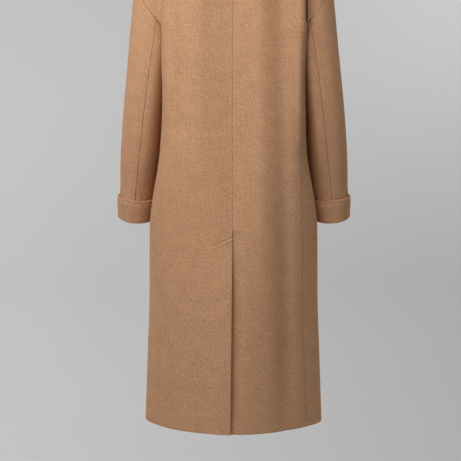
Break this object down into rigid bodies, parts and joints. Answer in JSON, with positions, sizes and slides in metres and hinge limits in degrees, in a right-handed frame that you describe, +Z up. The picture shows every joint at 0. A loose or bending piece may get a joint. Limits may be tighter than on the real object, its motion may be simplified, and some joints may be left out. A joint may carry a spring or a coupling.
{
  "type": "long coat",
  "caption": "Long single-breasted wool coat in its worn, hollow form, with two-piece sleeves, turned-up cuffs, a turned-down collar and a centre back vent.",
  "frame": {"origin": "the middle of the neck opening at the height of the nape, where the wearer's shoulders hold the coat", "axes": "+Z up along the coat, +X to the wearer's left, +Y to the wearer's back; the coat's front faces -Y"},
  "size_m": [0.5748, 0.3354, 1.2574],
  "materials": {
    "wool": "brushed camel wool, matt, with a short nap",
    "horn": "dark brown horn, half gloss"
  },
  "bodies": {
    "root": {"back_left": "wool", "back_right": "wool", "front_left": "wool", "front_right": "wool", "sleeve_upper_left": "wool", "sleeve_upper_right": "wool", "sleeve_under_left": "wool", "sleeve_under_right": "wool", "cuff_left": "wool", "cuff_right": "wool", "collar": "wool", "button_1": "horn", "button_2": "horn", "button_3": "horn", "button_4": "horn"}
  },
  "joints": []
}
